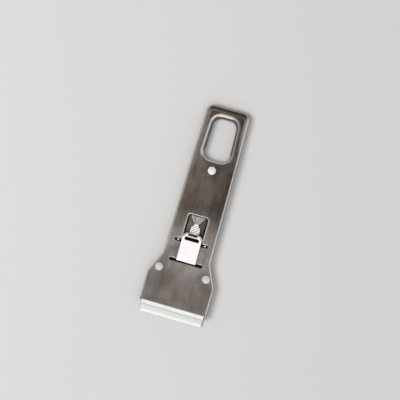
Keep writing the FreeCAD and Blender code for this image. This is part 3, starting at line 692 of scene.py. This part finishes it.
# %% The turning tree
def turning_tree():
    tree, add, given = new_tree(
        "turned piece", "Piece", Profile="Geometry", Segments="Int", Place="Vector", Finish="Material"
    )

    def sums(operation, first, second=0.0):
        return add("ShaderNodeMath", {0: first, 1: second}, operation=operation)[0]

    points = add("GeometryNodeAttributeDomainSize", {"Geometry": given["Profile"]})["Point Count"]
    columns = sums("ADD", given["Segments"], 1.0)
    grid = add("GeometryNodeMeshGrid", {"Vertices X": columns, "Vertices Y": points})["Mesh"]
    number = add("GeometryNodeInputIndex")[0]
    step = sums("FLOOR", sums("DIVIDE", sums("ADD", number, 0.5), points))
    sample = {"Geometry": given["Profile"], "Index": sums("SUBTRACT", number, sums("MULTIPLY", step, points))}
    profile = add("GeometryNodeSampleIndex", sample, data_type="FLOAT_VECTOR")["Value"]
    tree.links.new(add("GeometryNodeInputPosition")[0], profile.node.inputs["Value"])
    radius, _, height = add("ShaderNodeSeparateXYZ", {0: profile})
    turn = sums("MULTIPLY", sums("DIVIDE", step, given["Segments"]), math.tau)
    out, up = (sums("MULTIPLY", radius, sums(kind, turn)) for kind in ("COSINE", "SINE"))
    wrapped = add("ShaderNodeCombineXYZ", {"X": out, "Y": up, "Z": height})[0]
    turned = add("GeometryNodeSetPosition", {"Geometry": grid, "Position": wrapped})[0]
    closed = add("GeometryNodeMergeByDistance", {"Geometry": turned, "Distance": JOIN})[0]
    seat = add("GeometryNodePoints", {"Count": 1, "Position": given["Place"]})[0]
    set_down = add("GeometryNodeInstanceOnPoints", {"Points": seat, "Instance": closed})[0]
    return end_tree(tree, add, set_down, given["Finish"])


turning = turning_tree()


def turned(profile, place, material, segments=64):
    points = [(r, 0.0, z) for r, z in profile]
    mesh = grown(turning, points, {"Segments": segments, "Place": place, "Finish": material})
    work = bmesh.new()
    work.from_mesh(mesh)
    bmesh.ops.recalc_face_normals(work, faces=work.faces)
    work.to_mesh(mesh)
    work.free()
    return smooth(mesh, TURNED_FOLD)


def arc(centre, radius, start, end, count):
    turns = np.radians(np.linspace(start, end, count))
    return [(centre[0] + radius * math.cos(t), centre[1] + radius * math.sin(t)) for t in turns]


# %% Rivets
SHANK, TAIL, SEAT_DEPTH = 1.5 * MM, 0.6 * MM, 0.25 * MM
RIM, RIM_CHAMFER, RIM_SHARE, DOME_POINTS = 0.18 * MM, 0.06 * MM, 0.6, 14
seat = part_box("front_shell")[1].z - SEAT_DEPTH
for node in RIVET_NODES:
    low, high, place, head = round_box(node)
    dome = high - seat - RIM
    ball = ((head - RIM / 2) ** 2 + dome**2) / (2 * dome)
    spread = math.degrees(math.asin((head - RIM / 2) / ball))
    profile = [(0.0, low), (SHANK + TAIL, low), (SHANK, low + TAIL), (SHANK, seat)]
    profile += [(head - RIM_CHAMFER, seat), (head, seat + RIM_CHAMFER), (head, seat + RIM * RIM_SHARE)]
    profile += arc((0.0, high - ball), ball, 90 - spread, 90, DOME_POINTS)
    profile[-1] = (0.0, high)
    rivet = turned(profile, place, rivet_finish)
    finished("turned_" + node, rivet, rivet_finish, "housing", "rivet_metal", node)

# %% Spacer sleeves
SLEEVE_PLAY, SLEEVE_CHAMFER = 0.03 * MM, 0.15 * MM
for node in ("handle_spacer", "left_shoulder_spacer", "right_shoulder_spacer"):
    low, high, place, outer = round_box(node)
    inner, shoulder = SHANK + SLEEVE_PLAY, outer - SLEEVE_CHAMFER
    profile = [(inner, low), (shoulder, low), (outer, low + SLEEVE_CHAMFER)]
    profile += [(outer, high - SLEEVE_CHAMFER), (shoulder, high), (inner, high), (inner, low)]
    sleeve = turned(profile, place, plate_finish)
    finished("turned_" + node, sleeve, plate_finish, "housing", "plate_steel", node)

# %% Blade pegs
PEG_CHAMFER, PEG_FROM, PEG_POINTS = 0.3 * MM, 15, 5
for node in ("left_blade_peg", "right_blade_peg"):
    low, high, place, outer = round_box(node)
    profile = [(0.0, low), (outer, low), (outer, high - PEG_CHAMFER)]
    profile += arc((outer - PEG_CHAMFER, high - PEG_CHAMFER), PEG_CHAMFER, PEG_FROM, 90, PEG_POINTS)
    profile.append((0.0, high))
    peg = turned(profile, place, carrier_finish)
    finished("turned_" + node, peg, carrier_finish, "carriage", "carrier_steel", node)

# %% [markdown]
# ## Thumb slider
# The slider is one strip of spring steel, pressed in a single stroke: a toe that hooks into the
# carrier, a riser through the lower slot, a long ramp, a notched crest with a punched slot, and
# behind it a scooped dish with a ribbed block for the thumb. Boxes would give it hard corners that
# no press makes, so it is one grid. Its rows follow the bent strip up to the ramp, and from there
# a height formula with soft minimums and maximums shapes the crest and the dish. Solidify then
# gives it its sheet.

# %% Slider sizes, in mm from the front edge of the lip
HALF_WIDTH, DISH_HALF, SHEET = 6.25, 5.7, 0.5
TOE, FOOT, RISER, RAMP = 27.5, 1.8, 32.15, 32.6
TOE_LOW, RAMP_LOW, RAMP_SLOPE, RAMP_ROUND = 1.0, 5.5, 0.098, 0.1
FIELD_FROM, NECK, DISH_END, END_CORNER = 42.0, (50.6, 51.4), 62.3, 1.5
CREST, CREST_TOP, CREST_FALL, CREST_ROUND = 49.15, 7.28, 4.0, 0.9
NOTCH_HALF, NOTCH_DEEP, NOTCH_ROUND = 2.95, 1.35, 0.5
SHOULDER_AT, SHOULDER_OF, SHOULDER_LEAN, SHOULDER_ROUND = (47.5, 51.2), (6.6, 3.3), 0.5, 0.4
DISH_RIM, DISH_ROUND, BOWL_TILT = 4.15, 0.25, 0.17
BOWL_AT, BOWL_LOW = (51.0, 57.2, 62.3), (2.0, 3.05, 3.25)
WIDE_AT, WIDE_OF = (50.9, 55.3, 56.2, 57.3, 61.9), (3.05, 2.6, 1.5, 1.1, 4.1)
BLOCK_HIGH, BLOCK_SIDE, BLOCK_END = 1.0, (-0.1, 0.7), (57.35, 57.7)
RIBS_FROM, RIBS_TO, RIB_PITCH = 50.88, 57.3, 1.08
GROOVE_HALF, GROOVE_DEEP, GROOVE_SIDE = 0.26, 0.16, (-0.3, 0.1)


# %% Slider surface
def soft_min(first, second, radius):
    share = np.clip(0.5 + 0.5 * (second - first) / radius, 0, 1)
    return second * (1 - share) + first * share - radius * share * (1 - share)


def soft_max(first, second, radius):
    return -soft_min(-first, -second, radius)


def within(half, fade, out):
    return 1 - ease(half + fade[0], half + fade[1], out)


def past_crest(x, y):
    out = abs(x)
    notch = soft_min(y - CREST, NOTCH_HALF - out, NOTCH_ROUND)
    aside = SHOULDER_LEAN * (out - np.interp(y, SHOULDER_AT, SHOULDER_OF))
    return soft_max(soft_max(y - CREST - NOTCH_DEEP, notch, NOTCH_ROUND), aside, SHOULDER_ROUND)


def groove(x, y):
    half = np.interp(y, WIDE_AT, WIDE_OF)
    ribbed = (y > RIBS_FROM) * (y < RIBS_TO) * within(half, GROOVE_SIDE, abs(x))
    middle = abs((y - RIBS_FROM) / RIB_PITCH % 1.0 - 0.5) * RIB_PITCH
    return ribbed * np.clip(1 - (RIB_PITCH / 2 - middle) / GROOVE_HALF, 0, 1)


def slider_height(x, y):
    out = abs(x)
    ramp = soft_min(RAMP_LOW + (y - RAMP) * RAMP_SLOPE, np.full_like(x, CREST_TOP), RAMP_ROUND)
    hump = soft_min(ramp, CREST_TOP - CREST_FALL * past_crest(x, y), CREST_ROUND)
    middle = np.interp(y, BOWL_AT, BOWL_LOW)
    half = np.interp(y, WIDE_AT, WIDE_OF)
    bowl = middle + BOWL_TILT / 2 * np.minimum(out, half) ** 2 / half
    wall = (DISH_RIM - middle - BOWL_TILT / 2 * half) / (DISH_HALF - half)
    bowl = bowl + wall * np.maximum(out - half, 0)
    block = BLOCK_HIGH * within(half, BLOCK_SIDE, out) * (1 - ease(*BLOCK_END, y))
    return soft_max(hump, bowl + block - GROOVE_DEEP * groove(x, y), DISH_ROUND)


# %% Lines and grids
BEND_POINTS = 7


def bent_line(points, radius, step):
    line = [Vector(points[0])]
    for before, corner, after in zip(points, points[1:], points[2:]):
        corner = Vector(corner)
        back, on = (Vector(before) - corner).normalized(), (Vector(after) - corner).normalized()
        reach = radius / math.tan(back.angle(on) / 2)
        for share in np.linspace(0, 1, BEND_POINTS):
            line.append(corner + back * reach * (1 - share) ** 2 + on * reach * share**2)
    line.append(Vector(points[-1]))
    dense = [line[0]]
    for before, after in zip(line, line[1:]):
        count = max(1, math.ceil((after - before).length / step))
        dense += [before.lerp(after, i / count) for i in range(1, count + 1)]
    return dense


def grid_mesh(points):
    rows, columns = points.shape[:2]
    index = np.arange(rows * columns).reshape(rows, columns)
    ring = [index[:-1, :-1], index[:-1, 1:], index[1:, 1:], index[1:, :-1]]
    faces = np.stack(ring, axis=-1).reshape(-1, 4)
    mesh = bpy.data.meshes.new("grid")
    mesh.from_pydata((points.reshape(-1, 3) * MM).tolist(), [], faces.tolist())
    return mesh


# %% Slider grid, with columns that follow the notch and the shoulders of the crest
BEND, BEND_STEP, COLUMNS, ROW, LAST_BIT = 0.5, 0.3, 101, 0.12, 0.01
NOTCH_SHARE, FOLD_SHARE = 0.48, 0.8
FOLD_AT, FOLD_OF = (42.0, 48.1, 51.2, 56.0), (5.0, 6.05, 3.3, 4.56)
across = np.linspace(-1, 1, COLUMNS)


def strip_line(y):
    cut = max(0.0, y - (DISH_END - END_CORNER))
    half = HALF_WIDTH + (DISH_HALF - HALF_WIDTH) * float(ease(*NECK, y))
    half += math.sqrt(max(0.0, END_CORNER**2 - cut**2)) - END_CORNER
    fold = min(np.interp(y, FOLD_AT, FOLD_OF), FOLD_SHARE * half if y > FOLD_AT[-1] else half)
    out = np.interp(abs(across), (0, NOTCH_SHARE, FOLD_SHARE, 1), (0, NOTCH_HALF, fold, half))
    return np.sign(across) * out


field_low = RAMP_LOW + (FIELD_FROM - RAMP) * RAMP_SLOPE
strip = [(TOE, TOE_LOW), (TOE, FOOT), (RISER, FOOT), (RAMP, RAMP_LOW), (FIELD_FROM, field_low)]
rows = []
for y, z in bent_line(strip, BEND, BEND_STEP):
    rows.append(np.stack([strip_line(FIELD_FROM), np.full(COLUMNS, y), np.full(COLUMNS, z)], axis=1))
for y in np.arange(FIELD_FROM + ROW, DISH_END + LAST_BIT, ROW):
    x = strip_line(y)
    rows.append(np.stack([x, np.full(COLUMNS, y), slider_height(x, y)], axis=1))
leaf = np.array(rows)
leaf[:, :, 1] += MOUTH
print("slider grid:", leaf.shape[:2], "highest underside:", round(leaf[:, :, 2].max(), 2), "mm")

# %% [markdown]
# ## Ears of the slider
# Two legs come down from the sides of the ramp and turn outwards under the shell. Each ends in an
# ear with a small pressed pimple, the bright dot in the upper cross slots. An ear is a bent grid
# too. Booleans weld both ears to the strip and punch the slot, as one press tool would, and a last
# merge closes the few slits that they leave.

# %% Ears
EAR_LEVEL, EAR_END, EAR_TIP, LEG_TOP = 3.5, 10.2, 0.6, 6.9
EAR_AT, EAR_HALF, LEG_AT, LEG_TO_EAR = 45.3, 0.75, 44.8, (-0.2, 1.0)
EAR_STEP, EAR_COLUMNS = 0.1, 25
PIMPLE_AT, PIMPLE_HALF, PIMPLE_SHORT, PIMPLE_RISE, PIMPLE_FADE = 8.8, 0.75, 0.36, 0.1, (0.8, 1.25)
PRESSED_EDGE, PRESSED_FOLD = 0.07, 60


def evaluated(mesh, *modifiers):
    holder = bpy.data.objects.new("holder", mesh)
    scene.collection.objects.link(holder)
    for kind, settings in modifiers:
        made = holder.modifiers.new(kind, kind)
        for key, setting in settings.items():
            setattr(made, key, setting)
    return plain_mesh(holder)


def pressed(points):
    sheet = dict(thickness=SHEET * MM, offset=1.0, use_even_offset=True, use_quality_normals=True)
    sharp = math.radians(PRESSED_FOLD)
    rounding = dict(width=PRESSED_EDGE * MM, segments=2, limit_method="ANGLE", angle_limit=sharp)
    return evaluated(grid_mesh(points), ("SOLIDIFY", sheet), ("BEVEL", rounding))


def from_pimple(x, y):
    return np.hypot((abs(x) - PIMPLE_AT) / PIMPLE_HALF, (y - EAR_AT) / PIMPLE_SHORT)


def ear(side):
    inner = HALF_WIDTH - SHEET
    turn_from, turn_to = (HALF_WIDTH + each for each in LEG_TO_EAR)
    made = []
    for x, z in bent_line([(inner, LEG_TOP), (inner, EAR_LEVEL), (EAR_END, EAR_LEVEL)], BEND, EAR_STEP):
        middle = LEG_AT + (EAR_AT - LEG_AT) * float(ease(turn_from, turn_to, x))
        tip = max(0.0, x - (EAR_END - EAR_TIP))
        half = EAR_HALF - (EAR_TIP - math.sqrt(max(0.0, EAR_TIP**2 - tip**2)))
        y = middle + np.linspace(-half, half, EAR_COLUMNS)
        spot = 1 - ease(*PIMPLE_FADE, from_pimple(x, y))
        rise = spot * PIMPLE_RISE * (1 + (y - EAR_AT) / PIMPLE_SHORT) / 2
        made.append(np.stack([np.full_like(y, side * x), y + MOUTH, z + rise], axis=1))
    return pressed(np.array(made)[:: int(side)])


# %% Welding and punching
PUNCH_AT, PUNCH_HALF, PUNCH_WIDE, PUNCH_CORNER = 47.1, 1.15, 4.7, 0.9
PUNCH_LOW, PUNCH_HIGH, CORNER_POINTS = 5.5, 9.0, 9
WELD, SLIDER_FOLD = 0.00001 * MM, 40


def rounded_block(half_x, half_y, corner, y, low, high):
    outline = []
    for turn, sx, sy in ((0, 1, 1), (90, -1, 1), (180, -1, -1), (270, 1, -1)):
        centre = (sx * (half_x - corner), y + sy * (half_y - corner))
        outline += arc(centre, corner, turn, turn + 90, CORNER_POINTS)
    work = bmesh.new()
    bottom = work.faces.new([work.verts.new((px * MM, py * MM, low * MM)) for px, py in outline])
    raised = bmesh.ops.extrude_face_region(work, geom=[bottom])["geom"]
    moved = [item for item in raised if isinstance(item, bmesh.types.BMVert)]
    bmesh.ops.translate(work, verts=moved, vec=(0, 0, (high - low) * MM))
    bmesh.ops.recalc_face_normals(work, faces=work.faces)
    mesh = bpy.data.meshes.new("punch")
    work.to_mesh(mesh)
    work.free()
    return mesh


def weld(mesh):
    work = bmesh.new()
    work.from_mesh(mesh)
    bmesh.ops.remove_doubles(work, verts=work.verts, dist=WELD)
    bmesh.ops.holes_fill(work, edges=[edge for edge in work.edges if len(edge.link_faces) == 1])
    left = sum(len(edge.link_faces) != 2 for edge in work.edges)
    work.to_mesh(mesh)
    work.free()
    print("welded slider, edges left open:", left)


punch = rounded_block(PUNCH_WIDE, PUNCH_HALF, PUNCH_CORNER, PUNCH_AT + MOUTH, PUNCH_LOW, PUNCH_HIGH)
tools = [bpy.data.objects.new("tool", mesh) for mesh in (ear(-1.0), ear(1.0), punch)]
steps = []
for kind, each in zip(("UNION", "UNION", "DIFFERENCE"), tools):
    scene.collection.objects.link(each)
    steps.append(("BOOLEAN", {"operation": kind, "object": each, "solver": "EXACT"}))
slider_mesh = evaluated(pressed(leaf), *steps)
weld(slider_mesh)
for each in tools:
    bpy.data.objects.remove(each)
smooth(slider_mesh, SLIDER_FOLD)

# %% [markdown]
# ## Painted shade on the slider
# Most of the slider is bright. The sides of the dish, the grooves, the front wall of the notch, the foot
# under the shell and the ears, all but their pimples, are painted dark as shade. The attribute says how much:
# 0 is bright, 1 is painted shade and 2 is painted deep shadow.

# %% Painted shade on the slider
SIDE_SHADE, SHADE_PAST, SHADE_FROM = 0.5, (0.3, 0.8), (50.8, 51.6)
FRONT_FROM, FRONT_TO, FRONT_HALF = (49.15, 49.3), (50.4, 50.6), (2.7, 3.0)
GROOVE_SHADE, FRONT_SHADE, DEEP_SHADE = 0.6, 1.5, 2.0
HIDDEN_BELOW, HIDDEN_UNTIL = (3.6, 4.6), (-0.1, 0.3)
EAR_ABOVE, EAR_ASIDE = 1.2, 1.4


def slider_shade_of(x, y):
    out = abs(x)
    half = np.interp(y, WIDE_AT, WIDE_OF)
    sides = ease(half, half + SIDE_SHADE, out) * ease(*SHADE_PAST, past_crest(x, y))
    sides = sides * (1 + ease(*SHADE_FROM, y)) / 2
    front = ease(*FRONT_FROM, y) * (1 - ease(*FRONT_TO, y)) * (1 - ease(*FRONT_HALF, out))
    return np.maximum(np.maximum(sides, GROOVE_SHADE * groove(x, y)), FRONT_SHADE * front)


spots = np.empty(len(slider_mesh.vertices) * 3)
slider_mesh.vertices.foreach_get("co", spots)
x, y, z = spots.reshape(-1, 3).T / MM
y = y - MOUTH
shade_under_shell = (1 - ease(*HIDDEN_BELOW, z)) * within(RAMP, HIDDEN_UNTIL, y)
# Painted shade on the slider, and painted deep shadow on the foot under the shell and on the ears but their
# pimples.
painted_shade = np.maximum(slider_shade_of(x, y), DEEP_SHADE * shade_under_shell)
on_ear = (z < EAR_LEVEL + EAR_ABOVE) & (abs(y - EAR_AT) < EAR_ASIDE)
painted_shade = np.where(on_ear, np.where(from_pimple(x, y) < 1.0, 0.0, DEEP_SHADE), painted_shade)
slider_mesh.attributes.new("painted_shade", "FLOAT", "POINT").data.foreach_set("value", painted_shade)
print("points of the slider that are dull or black:", int((painted_shade > 0.5).sum()), "of", len(painted_shade))
finished("pressed_thumb_slider", slider_mesh, spring_finish, "thumb_spring", "spring_steel", "thumb_slider")

# %% [markdown]
# ## Rolled edges of the cut-out
# Punching pushes the sheet up into a thin rolled edge along the window and the upper sides of the
# cross slots. It follows a path, so a Geometry Nodes tree sweeps a small circle along the line.
# Each edge sinks into the sheet where it ends.

# %% The edge tree
EDGE_FOLD = 40


def edge_tree():
    tree, add, given = new_tree(
        "rolled edge", "Edge", Line="Geometry", Section="Vector", Sides="Int", Finish="Material"
    )
    ring = add("GeometryNodeCurvePrimitiveCircle", {"Resolution": given["Sides"], "Radius": 1.0})[0]
    flat = add("GeometryNodeTransform", {"Geometry": ring, "Scale": given["Section"]})[0]
    path = add("GeometryNodeMeshToCurve", {"Mesh": given["Line"]})[0]
    level = add("GeometryNodeSetCurveNormal", {"Curve": path}, mode="Z_UP")[0]
    sweep = {"Curve": level, "Profile Curve": flat, "Fill Caps": True}
    return end_tree(tree, add, add("GeometryNodeCurveToMesh", sweep)[0], given["Finish"])


edging = edge_tree()


def swept(points, section, material, sides=16):
    inputs = {"Section": section, "Sides": sides, "Finish": material}
    return smooth(grown(edging, [tuple(c * MM for c in point) for point in points], inputs), EDGE_FOLD)


# %% Edges of window and slots
EDGE_HALF, EDGE_RISE, EDGE_SINK, EDGE_FADE, EDGE_CORNER = 0.5, 0.28, 0.06, 1.4, 1.8
WINDOW_SIDE, WINDOW_TOP, WING_TOP, WING_DIP, SLOT_TOP, SLOT_END = 6.98, 63.25, 46.7, 0.1, 33.6, 10.3
WINDOW_STEP, SLOT_STEP, SLOT_SHARE = 0.4, 0.2, 0.8


def rolled(name, line, share, fades_inside):
    points = []
    for x, y in line:
        fade = float(ease(SLOT_END - EDGE_FADE, SLOT_END, abs(x)))
        if fades_inside:
            fade = max(fade, 1 - float(ease(WINDOW_SIDE, WINDOW_SIDE + EDGE_FADE, abs(x))))
        points.append((x, y + MOUTH, SHELL_TOP - EDGE_SINK - EDGE_RISE * fade))
    mesh = swept(points, (EDGE_HALF * share * MM, EDGE_RISE * MM, MM), edge_finish)
    finished(name, mesh, edge_finish, "housing", "shell_steel")


window = [(SLOT_END, WING_TOP - WING_DIP), (WINDOW_SIDE, WING_TOP), (WINDOW_SIDE, WINDOW_TOP)]
window += [(-x, y) for x, y in reversed(window)]
rolled("rolled_window_edge", bent_line(window, EDGE_CORNER, WINDOW_STEP), 1.0, False)
for name, side in (("rolled_left_slot_edge", -1), ("rolled_right_slot_edge", 1)):
    slot = [(side * WINDOW_SIDE, SLOT_TOP), (side * SLOT_END, SLOT_TOP)]
    rolled(name, bent_line(slot, EDGE_CORNER, SLOT_STEP), SLOT_SHARE, True)
